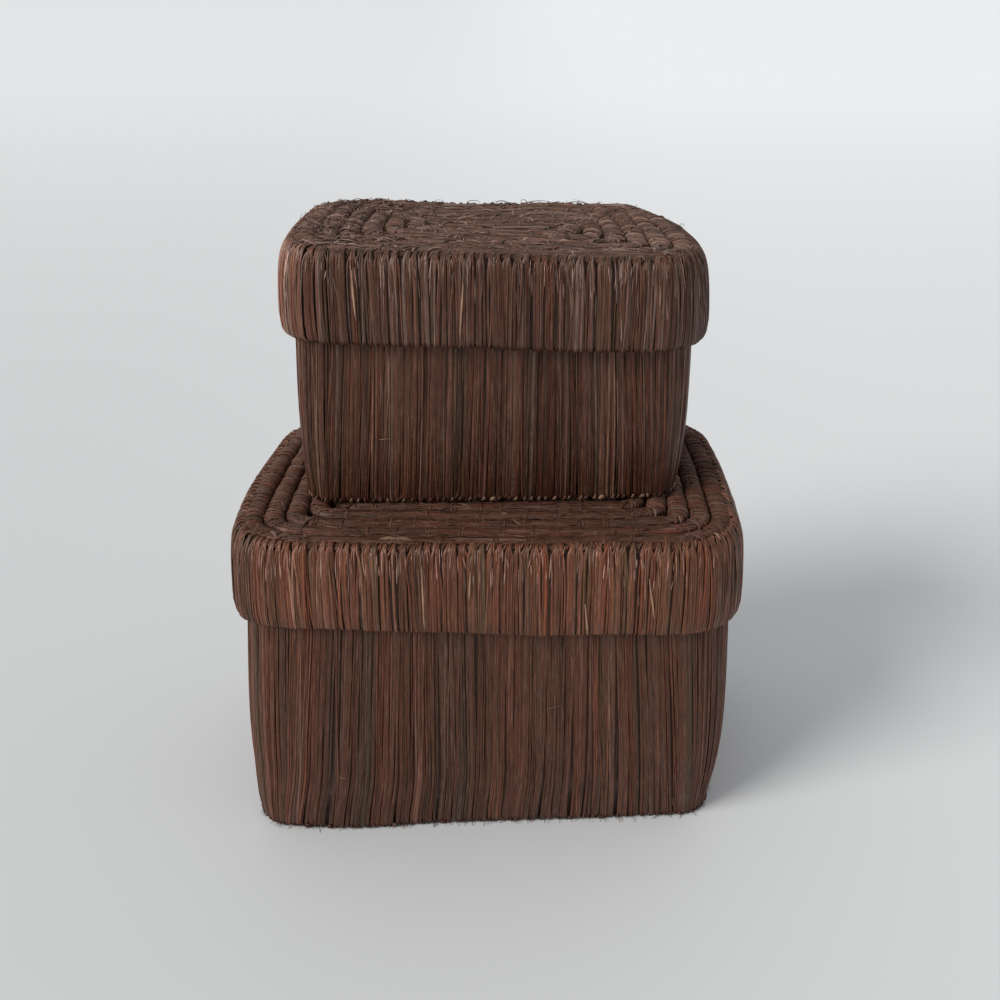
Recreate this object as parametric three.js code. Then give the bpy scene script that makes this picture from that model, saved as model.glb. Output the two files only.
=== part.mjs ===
// A stacked pair of lidded raffia boxes: a small box standing on the lid of a large one.
// Each lid and each base is a flat coil of raffia rope on a card board. Each wall is a card band
// with raffia strands wrapped over its open edge, and a row of knots ties the strands to the coil.
// Millimetres, z up, fronts towards -y, origin under the middle of the large lid.

import * as THREE from "three";

// Clearances
const SEAT_GAP = 0.3;
const LID_CLEARANCE = 0.5;
const COIL_ROW_GAP = 0.6;

// Layers of the walls
const OUTER_RAFFIA = 1.1;
const INNER_RAFFIA = 0.8;
const CARD = 1.0;
const BOARD = 1.5;
const EDGE_FOLD = 1.4;

// Lid skirts: fullest low down, leaning in to the shoulder, drawn in at the lower edge
const SKIRT_PADDING = 2.0;
const SHOULDER_INSET = 4.2;
const SHOULDER_STEP = 0.7;

// Body walls: drawn in at the foot, swelling between there and the lid
const FOOT_TAPER = 2.7;
const TAPER_HEIGHT = 45;

// Raffia rope of the coils and the knotted rows
const ROPE_HEIGHT = 6.5;
const END_ROW_PITCH = 8.8;
const ROPE_CUT_SHARE = 0.1;
const KNOT_RADIUS = 1.6;
const FOOT_KNOT_RADIUS = 1.2;
const TIE_SHARE = 0.7;
const KNOT_SPACING = 11;

// Large box
const LARGE_WIDTH = 225;
const LARGE_DEPTH = 148;
const LARGE_HEIGHT = 146.5;
const LARGE_SKIRT = 41;
const LARGE_CORNER = 33;
const LARGE_FOOT_CORNER = 15.5;
const LARGE_BOW = 1.5;
const LARGE_BELLY = 2.3;
const LARGE_LID_ROWS = 8;
const LARGE_BASE_ROWS = 6;

// Small box, and its place on the large lid
const SMALL_WIDTH = 180;
const SMALL_DEPTH = 101.3;
const SMALL_HEIGHT = 108.4;
const SMALL_SKIRT = 38.4;
const SMALL_CORNER = 26;
const SMALL_FOOT_CORNER = 12;
const SMALL_BOW = 1.2;
const SMALL_BELLY = 0.4;
const SMALL_LID_ROWS = 6;
const SMALL_BASE_ROWS = 4;
const SMALL_SHIFT_X = 2.5;
const SMALL_SHIFT_Y = 10.5;

// Steps round an outline
const CORNER_STEPS = 5;
const SIDE_STEPS = 2;
const COIL_CORNER_STEPS = 4;
const KNOT_SIDES = 5;

// Distances inwards from the fullest outline of a lid
const lidSlotOuter = SKIRT_PADDING + OUTER_RAFFIA;
const lidSlotInner = lidSlotOuter + CARD + 2 * SEAT_GAP;
const lidInnerFace = lidSlotInner + INNER_RAFFIA;
const lidStitchInset = SHOULDER_INSET - 0.1 + KNOT_RADIUS;
const lidCoilEdge = lidStitchInset + KNOT_RADIUS + SEAT_GAP;
const bodyInset = lidInnerFace + LID_CLEARANCE;

// Distances inwards from the outline of a body
const bodySlotInner = OUTER_RAFFIA + CARD + 2 * SEAT_GAP;
const bodyInnerFace = bodySlotInner + INNER_RAFFIA;
const baseEdge = bodyInnerFace + FOOT_TAPER + SEAT_GAP;
const footStitchInset = baseEdge - SEAT_GAP - FOOT_KNOT_RADIUS;

// Heights above the surface that a box stands on
const baseCoilTop = ROPE_HEIGHT * (1 - ROPE_CUT_SHARE);
const footStitchHeight = SEAT_GAP + FOOT_KNOT_RADIUS;
const wallFoot = footStitchHeight + FOOT_KNOT_RADIUS + SEAT_GAP;

const RAFFIA_COLOURS = { wall: 0x5a392d, lid: 0x64402f, coil: 0x6b4a3b, knot: 0x4d3026 };
const CARD_COLOUR = 0x8a7257;

/** A matt material in one colour. */
function matt(colour) {
  return new THREE.MeshStandardMaterial({ color: colour, roughness: 0.8, metalness: 0, flatShading: true });
}

/** The heights of a box's layers, from the height of its lid's top and the drop of its skirt. */
function levelsOf(height, skirt) {
  const boardTop = height - ROPE_HEIGHT - SEAT_GAP;
  return {
    top: height,
    skirtEdge: height - skirt,
    boardTop,
    boardBottom: boardTop - BOARD,
    rim: boardTop - BOARD - SEAT_GAP,
  };
}

/**
 * A point of a rounded rectangle whose sides bow out a little, moved inwards by `inset`.
 * Side 0 is the front, and the sides go round anticlockwise. With `corner` true the point is on
 * the corner that follows the side. `share` runs from 0 to 1 along the side or the corner.
 */
function planPoint(plan, inset, side, corner, share, leastRadius = 0) {
  const alongX = side % 2 === 0;
  const radius = Math.max(plan.corner - inset, leastRadius);
  const halfAlong = (alongX ? plan.width : plan.depth) / 2 - plan.bow - inset - radius;
  const halfAcross = (alongX ? plan.depth : plan.width) / 2 - plan.bow - inset;
  const facing = (side - 1) * (Math.PI / 2);
  const outward = new THREE.Vector2(Math.cos(facing), Math.sin(facing));
  const forward = new THREE.Vector2(-outward.y, outward.x);
  if (corner) {
    const turn = facing + share * (Math.PI / 2);
    const centre = outward.multiplyScalar(halfAcross - radius).addScaledVector(forward, halfAlong);
    return centre.add(new THREE.Vector2(Math.cos(turn), Math.sin(turn)).multiplyScalar(radius));
  }
  const place = 2 * share - 1;
  const fade = 1 - (2 * inset) / plan.depth;
  const bow = plan.bow * fade * (1 - place * place);
  return outward.multiplyScalar(halfAcross + bow).addScaledVector(forward, halfAlong * place);
}

/** The same outline with a smaller corner radius. */
function tightened(plan, tightening) {
  return { ...plan, corner: plan.corner - tightening };
}

/** The points of the whole outline at one inset. */
function planRing(plan, inset) {
  const ring = [];
  for (let side = 0; side < 4; side++) {
    for (let step = 1; step < SIDE_STEPS; step++) {
      ring.push(planPoint(plan, inset, side, false, step / SIDE_STEPS));
    }
    for (let step = 0; step <= CORNER_STEPS; step++) {
      ring.push(planPoint(plan, inset, side, true, step / CORNER_STEPS));
    }
  }
  return ring;
}

/**
 * Joins a row of sections, each as many points, into one closed solid. The points of a section
 * run anticlockwise seen along the row. The row closes on itself, or has an end face at each end.
 */
function joinSections(sections, closed) {
  const count = sections[0].length;
  const positions = sections.flat().flatMap((point) => [point.x, point.y, point.z]);
  const faces = [];
  const spans = closed ? sections.length : sections.length - 1;
  for (let row = 0; row < spans; row++) {
    const here = row * count;
    const next = ((row + 1) % sections.length) * count;
    for (let i = 0; i < count; i++) {
      const j = (i + 1) % count;
      faces.push(here + i, next + i, next + j, here + i, next + j, here + j);
    }
  }
  if (!closed) {
    const last = (sections.length - 1) * count;
    for (let i = 1; i < count - 1; i++) {
      faces.push(0, i, i + 1, last, last + i + 1, last + i);
    }
  }
  const geometry = new THREE.BufferGeometry();
  geometry.setAttribute("position", new THREE.Float32BufferAttribute(positions, 3));
  geometry.setIndex(faces);
  geometry.computeVertexNormals();
  return geometry;
}

/**
 * A band round an outline. The profile lists [inset, height, tightening], up its outside and down
 * its inside. The tightening is how much smaller the corner radius is at that height.
 */
function bandGeometry(plan, profile) {
  const rings = profile.map(([inset, height, tightening = 0]) =>
    planRing(tightened(plan, tightening), inset).map((point) => new THREE.Vector3(point.x, point.y, height)),
  );
  const sections = rings[0].map((_, station) => rings.map((ring) => ring[station]));
  return joinSections(sections, true);
}

/** A flat board that fills an outline at one inset. */
function boardGeometry(plan, inset, bottom) {
  const geometry = new THREE.ExtrudeGeometry(new THREE.Shape(planRing(plan, inset)), {
    depth: BOARD,
    bevelEnabled: false,
  });
  return geometry.translate(0, 0, bottom);
}

/** The outward direction of a level path that runs anticlockwise, at one of its points. */
function outwardAt(path, index, closed) {
  const before = path[closed ? (index + path.length - 1) % path.length : Math.max(index - 1, 0)];
  const after = path[closed ? (index + 1) % path.length : Math.min(index + 1, path.length - 1)];
  return new THREE.Vector3(after.y - before.y, before.x - after.x, 0).normalize();
}

/** Sections of a level rope at each point of its path, from points [outward, up] of its outline. */
function ropeSections(path, outlineAt, closed) {
  return path.map((point, index) => {
    const outward = outwardAt(path, index, closed);
    return outlineAt(index).map(([side, up]) =>
      point.clone().addScaledVector(outward, side).add(new THREE.Vector3(0, 0, up)),
    );
  });
}

/**
 * The pitch of a coil's rows along the long sides, from how many rows fill the outline inwards of
 * `edge`, and at the ends, where the rope is whipped round and lies wider.
 */
function coilPitches(plan, edge, rows) {
  const pitch = (plan.depth / 2 - plan.bow - edge + COIL_ROW_GAP / 2) / (rows + 0.5);
  return { pitch, endPitch: Math.max(pitch, END_ROW_PITCH) };
}

/**
 * The middle line of a flat coil. Each loop follows the outline and moves one row inwards along
 * the middle of the back, and the last one ends as a straight core.
 */
function coilPath(plan, edge, rows, height) {
  const { pitch, endPitch } = coilPitches(plan, edge, rows);
  const firstInset = edge + (pitch - COIL_ROW_GAP) / 2;
  const rowPoint = (row, side, corner, share) => {
    const narrowing = (row + 0.5) * (endPitch - pitch);
    const rowPlan = { ...plan, width: plan.width - 2 * narrowing };
    return planPoint(rowPlan, firstInset + row * pitch, side, corner, share, pitch);
  };
  const path = [];
  const add = (point) => path.push(new THREE.Vector3(point.x, point.y, height));
  const start = rowPoint(0, 2, true, 0);
  add({ x: start.x + pitch, y: start.y });
  const coreHalf = -rowPoint(rows - 1, 2, true, 0).x - pitch / 2;
  for (let row = 0; row < rows; row++) {
    for (const side of [2, 3, 0, 1]) {
      if (side !== 2) {
        add(rowPoint(row, side, false, 0.5));
      }
      for (let step = 0; step <= COIL_CORNER_STEPS; step++) {
        add(rowPoint(row, side, true, step / COIL_CORNER_STEPS));
      }
    }
    const backLevel = plan.depth / 2 - plan.bow - firstInset - row * pitch;
    add({ x: coreHalf, y: backLevel });
    add({ x: -coreHalf, y: backLevel - pitch });
  }
  return path;
}

/** The least gap between a coil's turns: from points along its middle line to its later spans. */
function leastGap(path, widths) {
  const line = new THREE.Line3();
  const nearest = new THREE.Vector3();
  const travelled = [0];
  for (let i = 1; i < path.length; i++) {
    travelled.push(travelled[i - 1] + path[i].distanceTo(path[i - 1]));
  }
  let least = Infinity;
  for (let i = 0; i < path.length; i++) {
    for (let j = i + 1; j < path.length - 1; j++) {
      if (travelled[j] - travelled[i] > 4 * widths[i]) {
        line.set(path[j], path[j + 1]).closestPointToPoint(path[i], true, nearest);
        const share = nearest.distanceTo(path[j]) / path[j].distanceTo(path[j + 1]);
        const width = widths[j] + share * (widths[j + 1] - widths[j]);
        least = Math.min(least, nearest.distanceTo(path[i]) - (widths[i] + width) / 2);
      }
    }
  }
  return least;
}

/** A coil as one unbroken rope. `cut` is the share of its height that is cut off flat below. */
function coilGeometry(name, plan, edge, rows, bottom, cut) {
  const { pitch, endPitch } = coilPitches(plan, edge, rows);
  const up = ROPE_HEIGHT / 2;
  const cutUp = up * (1 - 2 * cut);
  const path = coilPath(plan, edge, rows, bottom + cutUp);
  const widths = path.map((_, index) => {
    const towardsEnd = 1 - Math.abs(outwardAt(path, index, false).y);
    return pitch + (endPitch - pitch) * towardsEnd - COIL_ROW_GAP;
  });
  const outlineAt = (index) => {
    const half = widths[index] / 2;
    const cutHalf = half * (0.5 + cut);
    return [
      [half, 0],
      [half / 2, up],
      [-half / 2, up],
      [-half, 0],
      [-cutHalf, -cutUp],
      [cutHalf, -cutUp],
    ];
  };
  console.log(`${name}: least gap between turns ${leastGap(path, widths).toFixed(2)} mm`);
  return joinSections(ropeSections(path, outlineAt, false), false);
}

/** A row of knots round an outline, joined by the strand that they are tied in. */
function knotRowGeometry(plan, inset, height, radius) {
  const corners = planRing(plan, inset).map((point) => new THREE.Vector3(point.x, point.y, height));
  const route = new THREE.CatmullRomCurve3(corners, true, "centripetal");
  const knots = Math.round(route.getLength() / KNOT_SPACING);
  const path = route.getSpacedPoints(2 * knots).slice(0, -1);
  const circle = (size) =>
    Array.from({ length: KNOT_SIDES }, (_, side) => {
      const angle = Math.PI / 2 + (side * 2 * Math.PI) / KNOT_SIDES;
      return [size * Math.cos(angle), size * Math.sin(angle)];
    });
  const outlines = [circle(radius), circle(radius * TIE_SHARE)];
  return joinSections(ropeSections(path, (index) => outlines[index % 2], true), true);
}

/** The body's wall at heights from its foot to the lid: [drawn in, height, corner tightening]. */
function wallShape(plan, levels) {
  const rise = levels.skirtEdge - wallFoot;
  return [0, 0.06, 0.18, 0.42, 0.72, 1].map((share) => {
    const height = wallFoot + share * rise;
    const down = Math.max(0, 1 - (share * rise) / TAPER_HEIGHT);
    const belly = plan.belly * Math.sin(Math.PI * share ** 0.8);
    const tightening = (plan.corner - FOOT_TAPER - plan.footCorner) * (1 - share);
    return [FOOT_TAPER * down * down - belly, height, tightening];
  });
}

/** The body's raffia: up the outside, over the rim and down the inside, open at the foot. */
function bodyWrapProfile(plan, levels) {
  const shape = wallShape(plan, levels);
  const upwards = (inset) => shape.map(([drawn, height, tightening]) => [inset + drawn, height, tightening]);
  const rimEase = INNER_RAFFIA;
  return [
    ...upwards(0),
    [0, levels.rim - rimEase],
    [rimEase, levels.rim],
    [bodyInnerFace - rimEase, levels.rim],
    [bodyInnerFace, levels.rim - rimEase],
    ...upwards(bodyInnerFace).reverse(),
    ...upwards(bodySlotInner),
    [bodySlotInner, levels.rim - EDGE_FOLD],
    [OUTER_RAFFIA, levels.rim - EDGE_FOLD],
    ...upwards(OUTER_RAFFIA).reverse(),
  ];
}

/** The body's card band, inside its raffia. */
function bodyCardProfile(plan, levels) {
  const outer = OUTER_RAFFIA + SEAT_GAP;
  const shape = wallShape(plan, levels);
  const top = levels.rim - EDGE_FOLD - SEAT_GAP;
  const upwards = (inset) => shape.map(([drawn, height, tightening]) => [inset + drawn, height, tightening]);
  return [...upwards(outer), [outer, top], [outer + CARD, top], ...upwards(outer + CARD).reverse()];
}

/** The lid's raffia: from the knots over the shoulder, down the skirt, round its edge and up inside. */
function lidWrapProfile(levels) {
  const skirt = levels.top - levels.skirtEdge;
  const lipTop = levels.top - 2 * KNOT_RADIUS - SEAT_GAP;
  const lipEnd = lidCoilEdge - 2 * SEAT_GAP;
  const shoulderLevel = (levels.boardTop + lipTop) / 2;
  const fold = levels.skirtEdge + EDGE_FOLD;
  const stepFace = lidSlotOuter + SHOULDER_STEP;
  return [
    [lidSlotOuter, levels.skirtEdge],
    [lidSlotOuter * 0.4, fold],
    [0, levels.skirtEdge + 0.2 * skirt],
    [SKIRT_PADDING * 0.15, levels.skirtEdge + 0.42 * skirt],
    [SKIRT_PADDING * 0.5, levels.skirtEdge + 0.63 * skirt],
    [SKIRT_PADDING, levels.rim],
    [SHOULDER_INSET * 0.7, shoulderLevel],
    [SHOULDER_INSET, lipTop],
    [lipEnd, lipTop],
    [lipEnd, lipTop - OUTER_RAFFIA],
    [SHOULDER_INSET + SEAT_GAP, lipTop - OUTER_RAFFIA - SHOULDER_STEP],
    [stepFace, levels.boardTop],
    [stepFace, levels.rim],
    [lidSlotOuter, levels.rim - SHOULDER_STEP],
    [lidSlotOuter, fold],
    [lidSlotInner, fold],
    [lidSlotInner, levels.rim],
    [lidInnerFace, levels.rim],
    [lidInnerFace, levels.skirtEdge + INNER_RAFFIA],
    [lidInnerFace - INNER_RAFFIA, levels.skirtEdge],
  ];
}

/** The lid's card band, inside its raffia. */
function lidCardProfile(levels) {
  const outer = lidSlotOuter + SEAT_GAP;
  const bottom = levels.skirtEdge + EDGE_FOLD + SEAT_GAP;
  const top = levels.rim - SHOULDER_STEP - SEAT_GAP;
  return [
    [outer, bottom],
    [outer, top],
    [outer + CARD, top],
    [outer + CARD, bottom],
  ];
}

/** A box with its lid on, standing at z = 0, as a group of named pieces. */
function makeBox(name, spec) {
  const levels = levelsOf(spec.height, spec.skirt);
  const lidPlan = { width: spec.width, depth: spec.depth, corner: spec.corner, bow: spec.bow };
  const bodyPlan = {
    width: spec.width - 2 * bodyInset,
    depth: spec.depth - 2 * bodyInset,
    corner: spec.corner - bodyInset,
    footCorner: spec.footCorner,
    bow: spec.bow,
    belly: spec.belly,
  };
  const footPlan = tightened(bodyPlan, bodyPlan.corner - FOOT_TAPER - bodyPlan.footCorner);
  const group = new THREE.Group();
  const add = (piece, geometry, colour) => {
    const mesh = new THREE.Mesh(geometry, matt(colour));
    mesh.name = `${name}_${piece}`;
    group.add(mesh);
  };

  add(
    "base_coil",
    coilGeometry(`${name} base coil`, footPlan, baseEdge, spec.baseRows, 0, ROPE_CUT_SHARE),
    RAFFIA_COLOURS.coil,
  );
  add("base_board", boardGeometry(footPlan, baseEdge, baseCoilTop + SEAT_GAP), CARD_COLOUR);
  add("body_card", bandGeometry(bodyPlan, bodyCardProfile(bodyPlan, levels)), CARD_COLOUR);
  add("body_wrap", bandGeometry(bodyPlan, bodyWrapProfile(bodyPlan, levels)), RAFFIA_COLOURS.wall);
  add(
    "foot_knots",
    knotRowGeometry(footPlan, footStitchInset, footStitchHeight, FOOT_KNOT_RADIUS),
    RAFFIA_COLOURS.knot,
  );

  const boardInset = lidSlotOuter + SHOULDER_STEP + SEAT_GAP;
  const knotHeight = levels.top - KNOT_RADIUS;
  add("lid_card", bandGeometry(lidPlan, lidCardProfile(levels)), CARD_COLOUR);
  add("lid_wrap", bandGeometry(lidPlan, lidWrapProfile(levels)), RAFFIA_COLOURS.lid);
  add("lid_board", boardGeometry(lidPlan, boardInset, levels.boardBottom), CARD_COLOUR);
  add(
    "lid_coil",
    coilGeometry(`${name} lid coil`, lidPlan, lidCoilEdge, spec.lidRows, levels.top - ROPE_HEIGHT, 0),
    RAFFIA_COLOURS.coil,
  );
  add("lid_knots", knotRowGeometry(lidPlan, lidStitchInset, knotHeight, KNOT_RADIUS), RAFFIA_COLOURS.knot);
  return group;
}

const largeBox = makeBox("large", {
  width: LARGE_WIDTH,
  depth: LARGE_DEPTH,
  height: LARGE_HEIGHT,
  skirt: LARGE_SKIRT,
  corner: LARGE_CORNER,
  footCorner: LARGE_FOOT_CORNER,
  bow: LARGE_BOW,
  belly: LARGE_BELLY,
  lidRows: LARGE_LID_ROWS,
  baseRows: LARGE_BASE_ROWS,
});

const smallBox = makeBox("small", {
  width: SMALL_WIDTH,
  depth: SMALL_DEPTH,
  height: SMALL_HEIGHT,
  skirt: SMALL_SKIRT,
  corner: SMALL_CORNER,
  footCorner: SMALL_FOOT_CORNER,
  bow: SMALL_BOW,
  belly: SMALL_BELLY,
  lidRows: SMALL_LID_ROWS,
  baseRows: SMALL_BASE_ROWS,
});
smallBox.position.set(SMALL_SHIFT_X, SMALL_SHIFT_Y, LARGE_HEIGHT + SEAT_GAP);

const pair = new THREE.Group();
pair.add(largeBox, smallBox);

export default pair;
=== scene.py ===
"""Looks for a stacked pair of lidded raffia boxes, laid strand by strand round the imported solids.

Lengths are in millimetres until a mesh is made. A strand on a wall is placed by how far it is
round the box's outline, how far inwards, and how high. The front is towards -y.
"""

import math

import bpy
import numpy as np
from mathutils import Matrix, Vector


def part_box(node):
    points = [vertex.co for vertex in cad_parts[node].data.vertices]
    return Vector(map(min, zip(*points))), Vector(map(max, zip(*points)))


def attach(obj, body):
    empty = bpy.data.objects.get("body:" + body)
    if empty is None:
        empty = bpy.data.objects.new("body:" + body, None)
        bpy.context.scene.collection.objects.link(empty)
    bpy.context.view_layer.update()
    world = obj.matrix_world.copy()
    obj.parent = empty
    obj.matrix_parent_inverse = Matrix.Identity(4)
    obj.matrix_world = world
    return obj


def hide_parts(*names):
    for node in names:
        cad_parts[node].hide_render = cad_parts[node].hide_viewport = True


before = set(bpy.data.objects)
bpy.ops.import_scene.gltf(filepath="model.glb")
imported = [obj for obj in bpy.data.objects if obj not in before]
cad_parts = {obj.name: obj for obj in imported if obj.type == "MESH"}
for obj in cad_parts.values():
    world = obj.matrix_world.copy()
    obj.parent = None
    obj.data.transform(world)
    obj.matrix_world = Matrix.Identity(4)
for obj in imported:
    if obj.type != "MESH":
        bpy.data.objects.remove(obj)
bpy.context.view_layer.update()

METRES = 0.001
TURN = 2 * math.pi
UP = np.array([0.0, 0.0, 1.0])

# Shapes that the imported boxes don't say by their size
CORNERS = {"large": 33.0, "small": 26.0}
FOOT_CORNERS = {"large": 15.5, "small": 12.0}
BOWS = {"large": 1.5, "small": 1.2}
BELLIES = {"large": 2.3, "small": 0.4}
LID_ROWS = {"large": 8, "small": 6}
BASE_ROWS = {"large": 6, "small": 4}
ROW_GAP = 0.6
END_ROW_PITCH = 8.8
WALL = 3.5
LID_WALL = 5.5
BODY_INSET = 6.0
COIL_EDGE = 7.6
BASE_EDGE = 6.5
FOOT_TAPER = 2.7
TAPER_HEIGHT = 45.0

# Heights and a middle that the settled shapes go by, and the least height over the floor
LARGE_RIM = 138.0
SMALL_FOOT = 146.0
SMALL_HEIGHT = 105.0
SMALL_CENTRE = 2.0
FLOOR_GAP = 0.02

# Raffia work: the small box's is the more ragged, and the knots at its foot are paler
STRAND_SPACING = 1.15
FINE_SPACING = 0.95
FINE_WIDTHS = [0.16, 0.27, 0.4, 0.6]
FINE_SHARES = [0.35, 0.35, 0.2, 0.1]
STRANDS_PER_KNOT = 3
LID_KNOT_SPACING = 3.6
FOOT_KNOT_SPACING = 3.4
STITCH_SPACING = {"large": 11.0, "small": 6.5}
WHIP_SPACING = {"large": 1.8, "small": 1.5}
FRAY_SPACING = 1.6
STRAY_CURLS = 9
COIL_STEP = 2.9
RIBBON_LENGTH = 32.0
RAGGED = {"large": 0.35, "small": 1.0}
CONTRASTS = {"large": 0.8, "small": 2.0}
PALE_KNOTS = {"large": 0.04, "small": 0.5}
KNOT_DEPTHS = {"large": 0.5, "small": 0.8}
ROUNDNESS = {"large": 0.65, "small": 0.5}

# How far sideways a coil's rope runs, 0 to 1, where it turns from the long sides to the short ones
TURNING = [0.2, 0.75]
MOSTLY_LONGWAYS = 0.45

# Dyed raffia in plain light: from red-brown to olive-brown, and the odd pale strand. Some colours and levels
# below also hold painted light and shade, as marked
TONES = ["#6a3b2b", "#5a3829", "#4b3a2a"]
COIL_TONES = {"large": ["#593122", "#4f3123", "#443325"], "small": ["#6d4d40", "#62493d", "#57483e"]}
# How bright each piece's raffia is: partly its own dye, partly painted shade that darkens the bodies under
# the lids and painted light that brightens the lids
SHADE_AND_TONE = {
    "large_body": np.array([0.78, 0.76, 0.68]),
    "small_body": np.array([0.79, 0.74, 0.65]),
    "large_lid": np.array([1.32, 1.24, 1.05]),
    "small_lid": np.array([0.86, 0.93, 0.94]),
}
PALE_STRAND = "#a5836c"
# Painted shade: the dark of the backing, the foot cord and the strips that show in the gaps between strands
SHADE_BACKING = "#2c1a13"
CORD = "#4a3226"
# Painted sheen: the pale pinkish colour of the streaks along the strands
SHEEN_STREAK = "#8f6f62"

# The card inside the boxes, and the floor
CARD_TONES = ["#6d5a45", "#a48c6e"]
FLOOR_TINGE = (0.985, 1.0, 1.01)

# Patches by x, partly where the dye took more or less and partly painted light and shade, such as the painted
# highlight at the small lid's left end: the middle and half width of each patch, and how bright it is
LIGHT_AND_DYE_PATCHES = {
    "large_body": [(-62, 12, 0.9), (94, 10, 1.15)],
    "small_body": [(-84, 9, 1.2), (30, 14, 0.85)],
    "large_lid": [(-106, 12, 0.72), (-30, 9, 0.75), (106, 12, 0.85)],
    "small_lid": [(-82, 9, 2.4), (8, 14, 0.85), (84, 10, 0.85)],
}

# Loose pale strands on a skirt's front: x, how high each starts and ends over the edge, and its lean
LOOSE_STRANDS = {
    "large": [(41, 1, 19, -2.0), (67, 12, 30, -3.0), (-26, 4, 36, -0.5), (-7, 20, 33, 0.5)],
    "small": [(-52, 14, 34, -1.0), (-10, 8, 30, 1.5)],
}

# A pale loop along the large lid's upper edge: flat strands, each from one x to another
LOOPS = {"large": [(-44, -31), (-45, -35), (-40, -30)], "small": []}

# A strand's section, from its right edge over its back to its left edge
LENS = np.array([(1.0, 0.0), (0.6, 0.72), (0.0, 1.0), (-0.6, 0.72), (-1.0, 0.0), (0.0, -0.6)])
THIN = np.array([(1.0, 0.1), (0.0, 1.0), (-1.0, 0.1), (0.0, -0.7)])

# Steps along each segment of an outline, and how far apart the strands lie in the fibres' texture
SEGMENT_STEPS = 60
FIBRE_SHIFT = 7.31

# Card pieces, and the part of the box that each belongs to
CARD_PIECES = [("base_board", "body"), ("body_card", "body"), ("lid_card", "lid"), ("lid_board", "lid")]

# The camera, fitted to the photo
CAMERA_PLACE = (0.00517, -0.49335, 0.3746)
CAMERA_TILT = 0.456
CAMERA_SENSOR = 36.0
CAMERA_LENS = 43.2

# The window's light travels to the right, backwards and down
LIGHT_DIRECTION = (1.2, 0.75, -1.0)
LIGHT_SPREAD = 27


def linear(code):
    """A colour code as linear light."""
    value = np.array([int(code[i : i + 2], 16) for i in (1, 3, 5)]) / 255
    return np.where(value <= 0.04045, value / 12.92, ((value + 0.055) / 1.055) ** 2.4)


def dice(name):
    """Random numbers that depend on a piece's name alone."""
    return np.random.default_rng(list(name.encode()))


def ease(low, high, value):
    """A smooth step from 0 at low to 1 at high."""
    t = np.clip((value - low) / (high - low), 0, 1)
    return t * t * (3 - 2 * t)


def unit(vectors):
    """The vectors at length 1."""
    return vectors / np.maximum(np.linalg.norm(vectors, axis=-1, keepdims=True), 1e-9)


def waves(rng, place, shortest, count=5, reach=4.0):
    """Smooth random ups and downs, about -1 to 1, along a place in millimetres."""
    place = np.asarray(place, float)
    lengths = shortest * reach ** rng.uniform(0, 1, count)
    phases = rng.uniform(0, TURN, count)
    total = sum(np.sin(TURN * place / length + phase) for length, phase in zip(lengths, phases))
    return total / math.sqrt(count)


def sway(rng, count, t, size):
    """A slow sideways wander of each strand along its length."""
    bend = rng.uniform(0.4, 1.8, (count, 1)) * t + rng.uniform(size=(count, 1))
    return rng.normal(0, size, (count, 1)) * np.sin(TURN * bend)


def travel(line):
    """How far along a line each of its points is."""
    return np.concatenate([[0], np.cumsum(np.linalg.norm(np.diff(line, axis=0), axis=1))])


def look_up(places, travelled, table):
    """A flat table's values at places between its points."""
    return np.stack([np.interp(places, travelled, table[:, i]) for i in (0, 1)], axis=-1)


def even_line(points, step):
    """A smooth line through points of a plane, at even steps."""
    points = np.asarray(points, float)
    padded = np.vstack([2 * points[0] - points[1], points, 2 * points[-1] - points[-2]])
    t = np.linspace(0, 1, 24, endpoint=False)[:, None]
    pieces = []
    for a, b, c, d in zip(padded, padded[1:], padded[2:], padded[3:]):
        pieces.append(
            0.5 * (2 * b + (c - a) * t + (2 * a - 5 * b + 4 * c - d) * t**2 + (3 * b - a - 3 * c + d) * t**3)
        )
    dense = np.vstack([*pieces, points[-1:]])
    travelled = travel(dense)
    count = max(2, int(round(travelled[-1] / step)) + 1)
    return look_up(np.linspace(0, travelled[-1], count), travelled, dense)


def thin_out(line, wanted_step):
    """Fewer points of an even line: each kept one is about wanted_step(inset, height) from the last."""
    kept, since = [0], 0.0
    for i in range(1, len(line) - 1):
        since += np.linalg.norm(line[i] - line[i - 1])
        if since >= wanted_step(*line[i]):
            kept.append(i)
            since = 0.0
    return line[[*kept, len(line) - 1]]


def run_left(route):
    """The length of a route that is left at each of its points."""
    return travel(route[::-1])[::-1]


def raised(flat, height):
    """Flat points or directions, each with a height."""
    height = np.broadcast_to(height, flat.shape[:-1])
    return np.concatenate([flat, height[..., None]], axis=-1)


def ring(corners):
    """A round section."""
    return np.array([(math.cos(a), math.sin(a)) for a in np.linspace(0, TURN, corners, endpoint=False)])


def outward(normals, route):
    """The directions out of a wall along a route of (inset, height)."""
    ahead = unit(np.gradient(route, axis=-2))
    return normals * ahead[..., 1:] + UP * ahead[..., :1]


def new_object(name, data):
    """An object in the scene."""
    made = bpy.data.objects.new(name, data)
    bpy.context.scene.collection.objects.link(made)
    return made


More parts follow.
